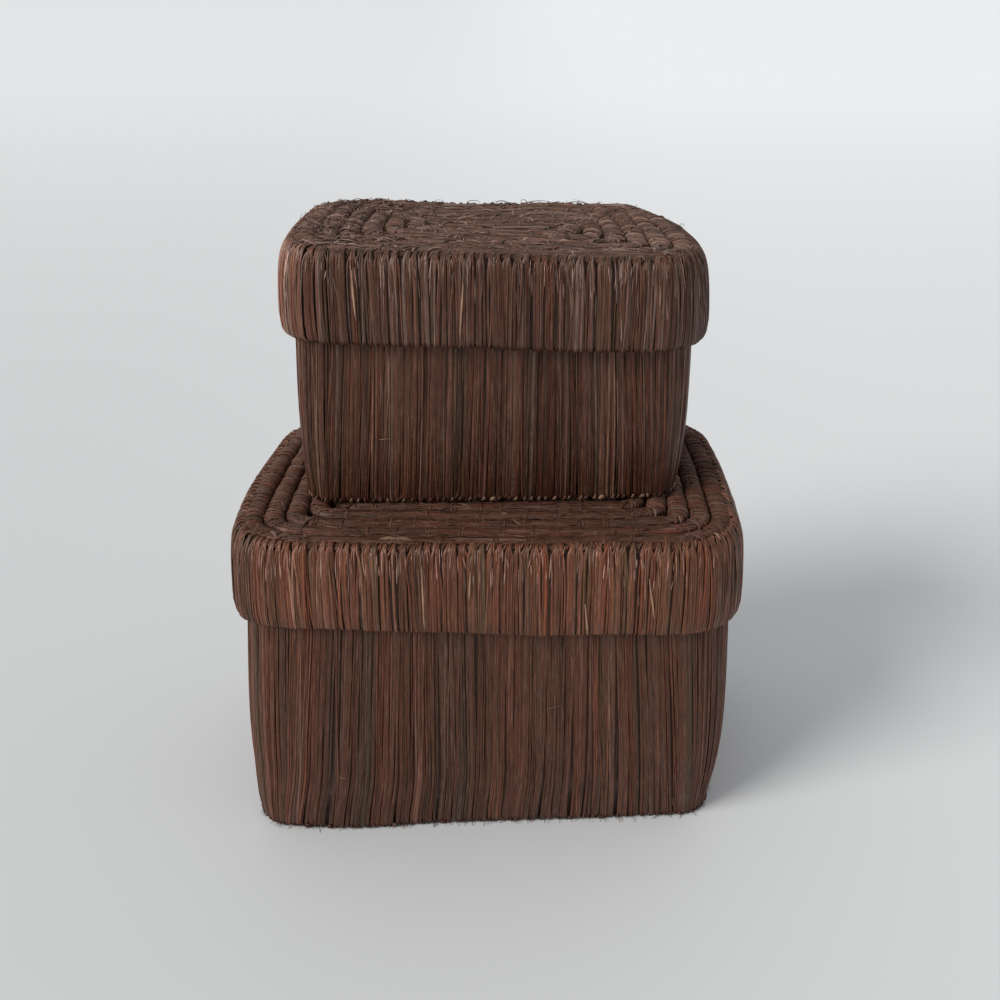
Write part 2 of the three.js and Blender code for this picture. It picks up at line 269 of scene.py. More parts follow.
class Plan:
    """An outline seen from above: a rounded rectangle whose sides bow out a little."""

    def __init__(self, centre, width, depth, corner, bow):
        self.centre, self.width, self.depth = np.array(centre), width, depth
        self.corner, self.bow = corner, bow
        parts = [(side, bend) for side in range(4) for bend in (False, True)]
        points = np.vstack([self.segment(0.0, side, bend) for side, bend in parts])
        points = np.vstack([points, points[:1]])
        drift = np.vstack([self.corner_drift(side, bend) for side, bend in parts])
        self.drift = np.vstack([drift, drift[:1]])
        self.travelled = travel(points)
        self.length = self.travelled[-1]
        ahead = np.roll(points[:-1], -1, axis=0) - np.roll(points[:-1], 1, axis=0)
        normals = unit(np.stack([ahead[:, 1], -ahead[:, 0]], axis=1))
        self.points, self.normals = points, np.vstack([normals, normals[:1]])

    @staticmethod
    def facing(side):
        """The angle that a side faces, and the directions out of it and along it."""
        angle = (side - 1) * math.pi / 2
        across, along = math.cos(angle), math.sin(angle)
        return angle, np.array([across, along]), np.array([-along, across])

    def segment(self, inset, side, bend, least=0.0, steps=SEGMENT_STEPS):
        """Points along one side, or round the corner after it, without the last one."""
        along_x = side % 2 == 0
        radius = max(self.corner - inset, least)
        along = (self.width if along_x else self.depth) / 2 - self.bow - inset - radius
        across = (self.depth if along_x else self.width) / 2 - self.bow - inset
        angle, out, forward = self.facing(side)
        share = np.linspace(0, 1, steps, endpoint=False)[:, None]
        if bend:
            turn = angle + share * math.pi / 2
            arc = radius * np.hstack([np.cos(turn), np.sin(turn)])
            return out * (across - radius) + forward * along + arc
        place = 2 * share - 1
        bow = self.bow * (1 - 2 * inset / self.depth) * (1 - place**2)
        return out * (across + bow) + forward * along * place

    def corner_drift(self, side, bend):
        """How a segment's points move for each millimetre that the corners are tightened."""
        angle, out, forward = self.facing(side)
        share = np.linspace(0, 1, SEGMENT_STEPS, endpoint=False)[:, None]
        if bend:
            turn = angle + share * math.pi / 2
            return out + forward - np.hstack([np.cos(turn), np.sin(turn)])
        return forward * (2 * share - 1)

    def place(self, distance, inset, height, tight=0.0):
        """Points in space at distances round the outline, and the outward direction at each."""
        distance, inset, height, tight = np.broadcast_arrays(distance, inset, height, tight)
        d = np.mod(distance, self.length)
        tables = (self.points, self.drift, self.normals)
        flat, drift, normal = [look_up(d, self.travelled, table) for table in tables]
        flat, normal = flat + drift * tight[..., None], unit(normal)
        return raised(flat + self.centre - normal * inset[..., None], height), raised(normal, 0.0)


class Bundle:
    """Strands gathered into one mesh. Each is a closed tube with its own colour and strip of the UV map."""

    def __init__(self):
        self.blocks = []

    def add(self, lines, ups, half_width, half_height, tints, section=LENS, closed=False):
        """Strands along lines, shaped (strands, steps, 3), their backs towards ups.

        The tints are one colour for all of them, or one for each strand, or one for each step.
        """
        lines = np.asarray(lines, float)
        count, steps, _ = lines.shape
        ups = np.broadcast_to(ups, lines.shape)
        if closed:
            ahead = np.roll(lines, -1, axis=1) - np.roll(lines, 1, axis=1)
        else:
            ahead = np.gradient(lines, axis=1)
        ahead = unit(ahead)
        sides = unit(np.cross(ahead, ups))
        ups = unit(np.cross(sides, ahead))
        wide = np.broadcast_to(half_width, (count, steps))[..., None, None]
        high = np.broadcast_to(half_height, (count, steps))[..., None, None]
        across = section[:, 0][:, None] * wide * sides[:, :, None, :]
        upward = section[:, 1][:, None] * high * ups[:, :, None, :]
        vertices = lines[:, :, None, :] + across + upward
        tints = np.asarray(tints, float)
        tints = np.broadcast_to(tints[:, None, :] if tints.ndim == 2 else tints, (count, steps, 3))
        reach = np.linalg.norm(np.diff(lines, axis=1), axis=2)
        along = np.concatenate([np.zeros((count, 1)), np.cumsum(reach, axis=1)], axis=1)
        girth = 2 * float(np.mean(wide)) * float(np.ptp(section[:, 0])) + 0.5
        shape = dict(vertices=vertices, along=along, girth=girth, wide=wide, section=section)
        self.blocks.append(dict(shape, tints=tints, closed=closed))

    def arrays(self):
        """Vertices, faces, and what each corner and vertex carries."""
        area = sum(b["vertices"].shape[0] * b["along"][:, -1].mean() * b["girth"] for b in self.blocks)
        vertices, tints, fibres, faces, uvs = [], [], [], [], []
        start, floor, number = 0, 0.0, 0
        for b in self.blocks:
            count, steps, corners, _ = b["vertices"].shape
            length = b["along"][:, -1].mean()
            share = count * length * b["girth"] / area
            columns = int(np.clip(round(math.sqrt(area) / max(length, 1e-6)), 1, count))
            rows = math.ceil(count / columns)
            vertices.append(b["vertices"].reshape(-1, 3))
            tints.append(np.repeat(b["tints"].reshape(-1, 3), corners, axis=0))
            across = b["section"][:, 0] * b["wide"][..., 0] * np.ones((count, steps, 1))
            shift = np.arange(number, number + count)[:, None, None] * FIBRE_SHIFT
            fibre = np.stack(np.broadcast_arrays(b["along"][..., None], across, shift), axis=-1)
            fibres.append(fibre.reshape(-1, 3))

            spans = steps if b["closed"] else steps - 1
            strand = np.arange(count)[:, None, None]
            step = np.arange(spans)[None, :, None]
            corner = np.arange(corners)[None, None, :]

            def index(s, c):
                return start + (strand * steps + s % steps) * corners + c % corners

            quads = [index(step, corner), index(step + 1, corner)]
            quads += [index(step + 1, corner + 1), index(step, corner + 1)]
            faces.append(np.stack(np.broadcast_arrays(*quads), axis=-1).reshape(-1, 4))

            def uv(s, c):
                u = (strand % columns + 0.03 + 0.94 * s / spans) / columns
                v = floor + share * (strand // columns + 0.08 + 0.84 * c / corners) / rows
                return np.stack(np.broadcast_arrays(u, v), axis=-1)

            places = [uv(step, corner), uv(step + 1, corner), uv(step + 1, corner + 1), uv(step, corner + 1)]
            shape = (count, spans, corners, 2)
            uvs.append(np.stack([np.broadcast_to(p, shape) for p in places], axis=-2).reshape(-1, 2))
            if not b["closed"]:
                for end, order in ((0, 1), (steps - 1, -1)):
                    edge = index(end, corner)[:, 0, ::order]
                    for k in range(1, corners - 1, 2):
                        last = min(k + 2, corners - 1)
                        faces.append(edge[:, [0, k, k + 1, last]])
                        u = (np.arange(count) % columns + (0.01 if end == 0 else 0.98)) / columns
                        v = floor + share * (np.arange(count) // columns + 0.1) / rows
                        square = np.array([(0, 0), (0.01, 0), (0.01, 0.5), (0, 0.5)]) / (columns, rows)
                        square = square * (1, share)
                        uvs.append((np.stack([u, v], axis=1)[:, None, :] + square).reshape(-1, 2))
            start += count * steps * corners
            floor += share
            number += count
        return np.vstack(vertices), np.vstack(faces), np.vstack(uvs), np.vstack(tints), np.vstack(fibres)

    def make(self, name, body, nodes, slot, material):
        """The strands as one Blender object that rides on a body and stands for CAD nodes."""
        vertices, faces, uvs, tints, fibres = self.arrays()
        mesh = bpy.data.meshes.new(name)

        def fill(items, field, values, kind=np.float32):
            items.foreach_set(field, values.astype(kind).ravel())

        mesh.vertices.add(len(vertices))
        fill(mesh.vertices, "co", settle(body, vertices) * METRES)
        mesh.loops.add(faces.size)
        fill(mesh.loops, "vertex_index", faces, np.int32)
        mesh.polygons.add(len(faces))
        fill(mesh.polygons, "loop_start", np.arange(0, faces.size, 4), np.int32)
        fill(mesh.polygons, "use_smooth", np.ones(len(faces)), bool)
        fill(mesh.uv_layers.new(name="OFBake").data, "uv", uvs)
        colours = np.hstack([tints, np.ones((len(tints), 1))])
        fill(mesh.attributes.new("tint", "FLOAT_COLOR", "POINT").data, "color", colours)
        fill(mesh.attributes.new("fibre", "FLOAT_VECTOR", "POINT").data, "vector", fibres)
        mesh.validate()
        mesh.update()
        mesh.materials.append(material)
        piece = new_object(name, mesh)
        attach(piece, body)
        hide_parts(*nodes)


def settle(body, points):
    """How a soft box has settled out of true: a body's points, each moved a little."""
    x, y, z = points[:, 0], points[:, 1], points[:, 2]
    moved = points.copy()
    if body.startswith("large"):
        # Drawn in at the left towards the back
        moved[:, 0] += 7.0 * ease(-60, 70, y) * ease(0, 110, -x)
    else:
        # Narrower towards the back, with its corners drawn in, and uneven at the top there
        corner = ease(45, 88, -x) * ease(35, 62, y)
        moved[:, 0] += 4.2 * ease(10, 90, -x) * ease(-35, 40, y) + 4.5 * corner
        moved[:, 0] -= 7.5 * ease(30, 92, x) * ease(-20, 40, y)
        moved[:, 1] -= 3.0 * corner + 2.0 * ease(60, 92, x) * ease(20, 62, y)
        lift = 1.6 * ease(0, 55, y) * ease(-20, 40, x) - 3.2 * ease(64, 86, x) * ease(15, 50, y)
        moved[:, 2] += lift * ease(170, 235, z)
    if body == "large_body":
        # The foot is turned a little, lies more to the left, and bulges at the front left
        down = np.clip(1 - z / LARGE_RIM, 0, 1)
        moved[:, 1] += 0.038 * x * down
        drawn = 0.7 * down + 2.5 * ease(35, 0, z) * ease(90, -20, x)
        moved[:, 0] -= drawn - 1.3 * ease(6, 0, z) * ease(60, 100, x)
        moved[:, 1] -= 3.0 * np.exp(-(((x + 58) / 28) ** 2)) * ease(40, 0, z) * ease(0, -50, y)
    if body == "large_lid":
        # The skirt's lower edge is uneven, and the right end is drawn in
        lift = 2.4 * ease(25, -45, x) - 0.7 - 3.6 * ease(-88, -110, x) - 2.0 * ease(88, 110, x)
        moved[:, 2] += lift * ease(143, 110, z)
        moved[:, 0] -= 1.1 * ease(50, 110, x)
    if body == "small_body":
        # The foot is turned a little, and lies more to the left
        down = np.clip(1 - (z - SMALL_FOOT) / SMALL_HEIGHT, 0, 1)
        moved[:, 1] += 0.036 * (x - SMALL_CENTRE) * down
        moved[:, 0] -= 0.9 * down**3
    if body == "small_lid":
        # Higher towards the left, but for the lower edge of the left end
        sag = 1.1 * ease(-68, -88, x) * ease(245, 215, z)
        moved[:, 2] += np.maximum(1.0 - 0.031 * (x - SMALL_CENTRE), -0.5) - sag
    rng = dice(body.split("_")[0] + " lumps")
    for axis, size in ((0, 0.35), (1, 0.35), (2, 0.25)):
        moved[:, axis] += size * waves(rng, x, 45.0, 3) * waves(rng, y, 45.0, 3) * ease(0, 20, z)
    moved[:, 2] = np.maximum(moved[:, 2], FLOOR_GAP)
    return moved


class Box:
    """The sizes of one packed box."""

    def __init__(self, name):
        self.name = name
        low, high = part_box(f"{name}_lid_wrap")
        centre = ((low.x + high.x) / 2 / METRES, (low.y + high.y) / 2 / METRES)
        width, depth = (high.x - low.x) / METRES, (high.y - low.y) / METRES
        corner, bow = CORNERS[name], BOWS[name]
        inner = [size - 2 * BODY_INSET for size in (width, depth)]
        self.tightest = corner - BODY_INSET - FOOT_TAPER - FOOT_CORNERS[name]
        self.lid_plan = Plan(centre, width, depth, corner, bow)
        self.body_plan = Plan(centre, *inner, corner - BODY_INSET, bow)
        self.foot_plan = Plan(centre, *inner, corner - BODY_INSET - self.tightest, bow)
        self.skirt_edge = low.z / METRES
        low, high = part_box(f"{name}_body_wrap")
        self.wall_foot, self.rim = low.z / METRES, high.z / METRES
        low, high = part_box(f"{name}_base_coil")
        self.foot, self.base_rope = low.z / METRES, (high.z - low.z) / METRES
        low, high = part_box(f"{name}_lid_coil")
        self.top, self.lid_rope = high.z / METRES, (high.z - low.z) / METRES

    def wall_shape(self, height):
        """How far the body's wall is drawn in at a height, and how much its corners are tightened."""
        rise = self.skirt_edge - self.wall_foot
        share = np.clip((height - self.wall_foot) / rise, 0, 1)
        down = np.clip(1 - (height - self.wall_foot) / TAPER_HEIGHT, 0, 1)
        belly = BELLIES[self.name] * np.sin(math.pi * share**0.8)
        return FOOT_TAPER * down * down - belly, self.tightest * (1 - share)

    def wall_points(self, inset, heights):
        """Points of the body's wall at an inset, as rows of (inset, height, tightening)."""
        drawn, tightening = self.wall_shape(heights)
        return np.stack([inset + drawn, heights, tightening], axis=1)


def dye(rng, places, tones=TONES, depth=1.0, pale=0.0, mottle=0.2):
    """A linear colour for each strand: slow changes of tone, and each strand lighter or darker."""
    count = len(places)
    codes = np.array([linear(code) for code in tones])
    tone = np.clip(0.85 + 0.5 * waves(rng, places, 7.0, 6, 6.0) + rng.normal(0, 0.32, count), 0, 1.999)
    low = tone.astype(int)
    part = (tone - low)[:, None]
    tints = codes[low] * (1 - part) + codes[low + 1] * part
    shade = 0.11 * waves(rng, places, 6.0, 6, 6.0) + mottle * (rng.gumbel(size=count) - 0.58) / 1.28
    shade = np.clip(shade, -0.9, 0.75)
    paling = np.clip(shade, 0, 0.8)[:, None]
    tints = tints * (1 - paling) + tints.mean(axis=1, keepdims=True) * np.array([1.35, 0.9, 0.78]) * paling
    tints = tints * depth * np.exp(shade)[:, None]
    pale_ones = rng.uniform(size=count) < pale
    tints[pale_ones] = linear(PALE_STRAND) * rng.uniform(0.3, 0.75, (pale_ones.sum(), 1))
    return np.clip(tints, 0.003, 0.6)


def dye_and_light_patches(rng, body, plan, places, depth, mottle, added=0.0):
    """Colours for strands on a body's wall or skirt, brighter or darker in patches: partly where the dye took
    unevenly, partly painted light and shade.
    """
    tints = dye(rng, places, depth=depth * SHADE_AND_TONE[body], mottle=mottle) + added
    x = plan.place(places, 0.0, 0.0)[0][:, 0]
    for middle, reach, bright in LIGHT_AND_DYE_PATCHES[body]:
        tints = tints * bright ** np.exp(-(((x - middle) / reach) ** 2))[:, None]
    return tints


def lay_strands(
    bundle, plan, route, distance, half_width, half_height, tints, sink, tight=0.0, section=LENS
):
    """Lays strands up a wall along a route of (inset, height). The distance is per strand and step."""
    lines, normals = plan.place(distance, route[None, :, 0], route[None, :, 1], tight)
    ups = outward(normals, route)
    sink = np.broadcast_to(sink, lines.shape[:2])[..., None]
    bundle.add(lines - ups * sink, ups, half_width, half_height, tints, section)


def backing(bundle, plan, profile, stations=160):
    """A closed band under the strands, dark as painted shade in the gaps between them. The profile lists
    (inset, height, tightening), up its outside.
    """
    distance = np.linspace(0, plan.length, stations, endpoint=False)
    middle, _ = plan.place(distance[None, :], 0.0, 0.0)
    section = np.array([(-inset, height) for inset, height, _ in profile])
    bundle.add(middle, UP, 1.0, 1.0, linear(SHADE_BACKING), section, closed=True)
    rings = [plan.place(distance, inset, height, tightening)[0] for inset, height, tightening in profile]
    bundle.blocks[-1]["vertices"] = np.stack(rings, axis=1)[None]


def wall_route(box):
    """Up the outside of the body's wall, over the rim and down the inside, as (inset, height)."""
    rim, foot = box.rim, box.foot
    tuck = [(FOOT_TAPER + 2.2, foot + 0.75), (FOOT_TAPER + 0.9, foot + 1.0), (FOOT_TAPER + 0.15, foot + 2.2)]
    over = [(0.0, rim - 1.6), (0.7, rim - 0.3), (WALL / 2, rim), (WALL - 0.7, rim - 0.3)]
    levels = box.wall_foot + (rim - 5 - box.wall_foot) * np.linspace(0, 1, 16) ** 1.4
    outside, inside = box.wall_points(0.0, levels[1:]), box.wall_points(WALL, levels[::-1])
    line = even_line(np.vstack([tuck, outside[:, :2], over, [(WALL, rim - 1.8)], inside[:, :2]]), 0.5)

    def fineness(inset, height):
        outside = inset - box.wall_shape(height)[0] < WALL / 2
        if abs(height - rim) < 3 or (outside and height < foot + 5):
            return 1.0
        return 7.0 if outside else 16.0

    return thin_out(line, fineness)


def wall_backing(box, bundle, shell=0.95):
    """The band of painted shade inside the body's strands, a shell's thickness under both of their faces."""
    rim, heights = box.rim, np.linspace(box.wall_foot, box.rim - 2, 8)
    low = [(FOOT_TAPER + 1.6, box.foot + 1.9, box.tightest)]
    high = [(shell + 0.5, rim - 0.9, 0.0), (WALL - shell - 0.5, rim - 0.9, 0.0)]
    outside, inside = box.wall_points(shell, heights[1:]), box.wall_points(WALL - shell, heights[::-1])
    backing(bundle, box.body_plan, np.vstack([low, outside, high, inside]))


def body_wall(box, material):
    """The body's raffia: up the outside, over the rim and down the inside."""
    name, body, contrast = f"{box.name}_body_strands", f"{box.name}_body", CONTRASTS[box.name]
    rng, bundle, plan = dice(name), Bundle(), box.body_plan
    wall_backing(box, bundle)
    route = wall_route(box)
    tight = box.wall_shape(route[:, 1])[1]

    # The first layer lies close together all the way round
    t = np.linspace(0, 1, len(route))[None, :]
    count = int(plan.length / STRAND_SPACING)
    starts = (np.arange(count) + rng.uniform(-0.3, 0.3, count)) * plan.length / count
    lean = (3.5 * waves(rng, starts, 70.0, 3)[:, None] + rng.normal(0, 1.1, (count, 1))) * (t - 0.5)
    distance = starts[:, None] + lean + sway(rng, count, t, 0.25) + sway(rng, count, t, 0.12)
    sink = 0.34 + 0.08 * waves(rng, starts, 5.0)[:, None] + rng.uniform(-0.14, 0.14, (count, 1))
    width = rng.uniform(0.55, 1.15, (count, 1)) * (0.92 + np.clip(sway(rng, count, t, 0.1), -0.2, 0.2))
    # The first layer is darkened a little, painted shade under the finer strands
    tints = dye_and_light_patches(rng, body, plan, starts, 0.85, 0.2 * contrast)
    lay_strands(bundle, plan, route, distance, width, 0.18 + 0.15 * width, tints, sink, tight)

    # Finer strands over it, on the outside only, that come and go
    split = int(np.argmax(route[:, 1] > box.rim - 0.2))
    outer, tight = route[:split], tight[:split]
    t = np.linspace(0, 1, len(outer))[None, :]
    count = int(plan.length / FINE_SPACING)
    starts = rng.uniform(0, plan.length, count)
    kinds = rng.choice(FINE_WIDTHS, (count, 1), p=FINE_SHARES)
    width = kinds * rng.uniform(0.9, 1.4, (count, 1)) * np.clip(0.75 + sway(rng, count, t, 0.35), 0.2, 1.2)
    lean = rng.normal(0, 1.8, (count, 1)) * (t - 0.5)
    distance = starts[:, None] + lean + sway(rng, count, t, 0.4)
    sink = rng.uniform(0.0, 0.25, (count, 1)) + 0.1 * sway(rng, count, t, 1.0)
    # The finer strands are lightened, a painted highlight on the top layer
    tints = dye_and_light_patches(rng, body, plan, starts, 1.2, 0.3 * contrast)
    lay_strands(bundle, plan, outer, distance, width, 0.14 + 0.25 * width, tints, sink, tight, THIN)
    bundle.make(name, body, [f"{box.name}_body_wrap"], "raffia_wall", material)


def front_place(plan, x):
    """How far round the outline the front is at an x."""
    distance = np.linspace(0, plan.length, 2000)
    points = plan.place(distance, 0.0, 0.0)[0]
    return distance[np.argmin(np.abs(points[:, 0] - x) + 1000 * (points[:, 1] > plan.centre[1]))]


def knot_places(plan, spacing):
    """Where the knots are round an outline."""
    rng = dice("knots")
    count = int(plan.length / spacing)
    return (np.arange(count) + rng.uniform(-0.25, 0.25, count)) * plan.length / count


def skirt_route(box):
    """From inside the skirt, round its lower edge, up and over the shoulder, as (inset, height)."""
    top, edge, drop = box.top, box.skirt_edge, box.top - box.skirt_edge
    inside = [(LID_WALL, box.rim - 1), (LID_WALL, edge + drop * 0.5), (LID_WALL, edge + 4)]
    under = [(LID_WALL - 0.2, edge + 1.3), (LID_WALL - 1.1, edge + 0.2), (3.3, edge - 0.1), (2.1, edge + 0.2)]
    outside = [(1.1, edge + 1.3), (0.4, edge + 3.2), (0.0, edge + 0.2 * drop), (0.3, edge + 0.42 * drop)]
    outside += [(0.95, edge + 0.63 * drop), (1.8, top - 8.8), (2.6, top - 5.8)]
    over = [(3.8, top - 3.2), (5.4, top - 1.3), (7.2, top - 0.9), (8.4, top - 2.2)]

    def fineness(inset, height):
        if height < edge + 3 or height > top - 4:
            return 1.0
        if inset > LID_WALL - 0.5:
            return 12.0
        return 2.4 if height > top - 14 else 5.0

    return thin_out(even_line(inside + under + outside + over, 0.5), fineness)


def skirt_backing(box, bundle, shell=0.85):
    """The band of painted shade inside the lid's strands, a shell's thickness under both of their faces."""
    top, edge, drop, rim = box.top, box.skirt_edge, box.top - box.skirt_edge, box.rim
    profile = [(2.6, edge + 0.75), (1.1 + shell, edge + 2.1), (shell, edge + 0.2 * drop)]
    profile += [(0.3 + shell, edge + 0.42 * drop), (0.95 + shell, edge + 0.63 * drop)]
    profile += [(1.8 + shell, top - 8.8), (2.7 + shell, top - 6.2), (4.5 + shell, top - 3.3)]
    profile += [(7.8, top - 2.4), (7.8, top - 3.8), (5.6, top - 5.0), (4.4, rim)]
    profile += [(LID_WALL - shell, rim - 1), (LID_WALL - shell, edge + 1.2)]
    backing(bundle, box.lid_plan, [(*point, 0.0) for point in profile])


def lid_skirt(box, material):
    """The lid's raffia, gathered into the knots along the shoulder."""
    name, body, contrast = f"{box.name}_lid_strands", f"{box.name}_lid", (1 + CONTRASTS[box.name]) / 2
    rng, bundle, plan = dice(name), Bundle(), box.lid_plan
    skirt_backing(box, bundle)

    # Each knot at the top gathers the strands of its bunch
    route = skirt_route(box)
    left = run_left(route)
    knots = knot_places(plan, LID_KNOT_SPACING)
    centres = np.repeat(knots, STRANDS_PER_KNOT)
    count = len(centres)
    spread = np.tile(np.arange(STRANDS_PER_KNOT), len(knots)) - (STRANDS_PER_KNOT - 1) / 2
    own = spread * LID_KNOT_SPACING / STRANDS_PER_KNOT + rng.normal(0, 0.2, count)
    t = np.linspace(0, 1, len(route))[None, :]
    gather = ease(3.0, 8.5, left)[None, :]
    wander = sway(rng, count, t, 0.3) + sway(rng, count, t, 0.15)
    distance = centres[:, None] + own[:, None] * (0.36 + 0.64 * gather) + wander * gather
    distance = distance + ease(7.0, 0.0, left)
    width = rng.uniform(0.52, 1.0, (count, 1)) * (0.68 + 0.32 * gather)
    sink = (0.36 + 0.1 * waves(rng, centres, 7.0)[:, None] + rng.uniform(-0.16, 0.16, (count, 1))) * gather
    # The first layer is darkened a little, painted shade under the finer strands
    tints = dye_and_light_patches(rng, body, plan, centres, 0.85, 0.2 * contrast)
    lay_strands(bundle, plan, route, distance, width, 0.2 + 0.18 * width + 0.12 * (1 - gather), tints, sink)

    # Finer strands on the outside, from the lower edge to the knots
    outer = route[np.argmin(route[:, 1]) - 1 :]
    left = run_left(outer)
    t = np.linspace(0, 1, len(outer))[None, :]
    gather = ease(3.0, 9.0, left)[None, :]
    count = int(plan.length / FINE_SPACING)
    centres = rng.choice(knots, count)
    kinds = rng.choice(FINE_WIDTHS, (count, 1), p=FINE_SHARES)
    width = kinds * rng.uniform(0.8, 1.2, (count, 1)) * (0.7 + 0.3 * gather)
    own = rng.normal(0, 1.1, (count, 1)) * (0.35 + 0.65 * gather)
    spread = own + rng.normal(0, 1.3, (count, 1)) * np.clip(1.15 * t - 1, -1, 0)
    distance = centres[:, None] + spread + sway(rng, count, t, 0.4) * gather + ease(7.0, 0.0, left)
    sink = rng.uniform(-0.04, 0.22, (count, 1)) + 0.1 * sway(rng, count, t, 1.0)
    # The finer strands are lightened, a painted highlight on the top layer
    tints = dye_and_light_patches(rng, body, plan, centres, 1.2, 0.3 * contrast)
    lay_strands(bundle, plan, outer, distance, width, 0.14 + 0.25 * width, tints, sink, section=THIN)
    sheen_fibres_and_loose_strands(box, bundle, rng, outer, left)
    bundle.make(name, body, [f"{box.name}_lid_wrap"], "raffia_skirt", material)


def sheen_fibres_and_loose_strands(box, bundle, rng, outer, left):
    """Short paler fibres near the shoulder, a painted highlight that stands for the strands' sheen there, and
    a few long loose strands.
    """
    plan = box.lid_plan

    def on_skirt(below):
        return [np.interp(below, left[::-1], outer[::-1, i]) for i in (0, 1)]

    count = int(plan.length)
    t = np.linspace(0, 1, 8)[None, :]
    below = 3.0 + rng.gamma(1.6, 3.5, (count, 1)) + rng.uniform(3, 11, (count, 1)) * (1 - t)
    inset, height = on_skirt(below)
    starts = rng.uniform(0, plan.length, (count, 1))
    lines, normals = plan.place(starts + rng.normal(0, 0.5, (count, 1)) * t, inset - 0.08, height)
    ups = outward(normals, np.stack([inset, height], axis=-1))
    width = rng.uniform(0.14, 0.34, (count, 1)) * (0.35 + 0.65 * np.sin(math.pi * t))
    # Painted highlight: the short fibres are lifted paler, and some of them pinker
    sheen_lift = 0.07 + np.array([0.13, 0.08, 0.07]) * (rng.uniform(size=(count, 1)) < 0.22)
    tints = dye_and_light_patches(rng, f"{box.name}_lid", plan, starts[:, 0], 1.5, 0.4, sheen_lift)
    bundle.add(lines, ups, width, 0.13, tints, THIN)

    bow = np.sin(math.pi * t)
    for x, low, high, lean in LOOSE_STRANDS[box.name]:
        inset, height = on_skirt(left[0] - low - (high - low) * t)
        place = front_place(plan, x) + lean * (t - 0.5)
        lines, normals = plan.place(place, inset - 0.2 - 0.5 * bow, height)
        bundle.add(lines, normals, 0.15 + 0.28 * bow, 0.14, linear(PALE_STRAND), THIN)


def stitches(bundle, plan, places, route, slant, half_width, half_height, tints, rng, lift=0.0):
    """Short stitches across an edge, each along a route of (inset, height) that slants sideways."""
    count, steps = len(places), len(route)
    t = np.linspace(-0.5, 0.5, steps)[None, :]
    distance = places[:, None] + t * (slant + rng.normal(0, abs(slant) * 0.3 + 0.1, (count, 1)))
    distance = distance + rng.normal(0, 0.25, (count, 1)) * np.cos(math.pi * t)
    lines, normals = plan.place(distance, route[None, :, 0], route[None, :, 1] + lift * np.cos(math.pi * t))
    bundle.add(lines, outward(normals, route), half_width, half_height, tints)


def cord(bundle, plan, inset, height, radius, code, stations=260):
    """A round cord all along an outline."""
    distance = np.linspace(0, plan.length, stations, endpoint=False)[None, :]
    lines, _ = plan.place(distance, inset, height)
    bundle.add(lines, UP, radius, radius, linear(code), ring(8), closed=True)


def lid_knots(box, material):
    """The stitches over the lid's upper edge, and the ends of raffia that stick out of them."""
    name = f"{box.name}_lid_stitches"
    rng = dice(name)
    plan, bundle, top = box.lid_plan, Bundle(), box.top
    depth, ragged = SHADE_AND_TONE[f"{box.name}_lid"], RAGGED[box.name]
    cord(bundle, plan, 7.0, top - 2.6, 1.2, CORD)
    knots = knot_places(plan, LID_KNOT_SPACING) + 0.6
    rise = [(4.9, top - 3.0), (5.5, top - 1.8), (6.4, top - 1.15)]
    route = even_line(rise + [(7.6, top - 0.95), (8.7, top - 1.2), (9.4, top - 2.4)], 0.7)
    taper = 0.45 + 0.55 * np.sin(np.linspace(0.1, math.pi - 0.1, len(route)))[None, :]
    for slant, wide, share in ((2.6, 0.55, 1.0), (3.1, 0.4, 0.8), (1.8, 0.3, 0.7), (-2.4, 0.25, 0.3)):
        places = knots[rng.uniform(size=len(knots)) < share]
        places = places + rng.normal(0, 0.3, len(places)) + rng.choice([-1.1, 0.0, 1.1])
        count = len(places)
        tints = dye(rng, places, depth=depth, pale=0.04, mottle=0.4)
        width = wide * rng.uniform(0.75, 1.25, (count, 1)) * taper
        lift = rng.uniform(-0.4, 0.15, (count, 1)) + 0.6 * (rng.uniform(size=(count, 1)) < 0.04)
        stitches(bundle, plan, places, route, slant, width, 0.25 + 0.35 * width, tints, rng, lift)

    # Loose ends: short curls just above the stitches
    count = int(plan.length * (0.06 + 0.08 * ragged))
    t = np.linspace(0, 1, 9)[None, :]
    places = rng.uniform(0, plan.length, (count, 1))
    run = rng.normal(0, 4.5, (count, 1))
    rise = rng.gamma(2.0, 0.4, (count, 1)) * np.sin(math.pi * t * rng.uniform(0.6, 1.0, (count, 1)))
    inset = 6.5 + rng.normal(0, 1.5, (count, 1)) * t
    distance = places + run * t + rng.normal(0, 0.6, (count, 1)) * np.sin(TURN * t)
    lines, normals = plan.place(distance, inset, top - 0.9 + np.clip(rise, 0, 2.2))
    width = rng.uniform(0.12, 0.24, (count, 1)) * (1 - 0.6 * t)
    tints = dye(rng, places[:, 0], depth=0.9 * depth, pale=0.12, mottle=0.3)
    bundle.add(lines, normals, width, 0.12, tints, THIN)

    bow = np.sin(math.pi * t)
    for ends in LOOPS[box.name]:
        start, end = [front_place(plan, x) for x in ends]
        places = start + (end - start) * t
        inset = 8.2 + rng.uniform(-0.6, 1.4) + 1.5 * bow
        lines, _ = plan.place(places, inset, top - 0.7 + 0.9 * bow)
        bundle.add(lines, UP, 0.3 + 0.45 * bow, 0.3, 0.55 * linear(PALE_STRAND))
    bundle.make(name, f"{box.name}_lid", [f"{box.name}_lid_knots"], "raffia_knots", material)


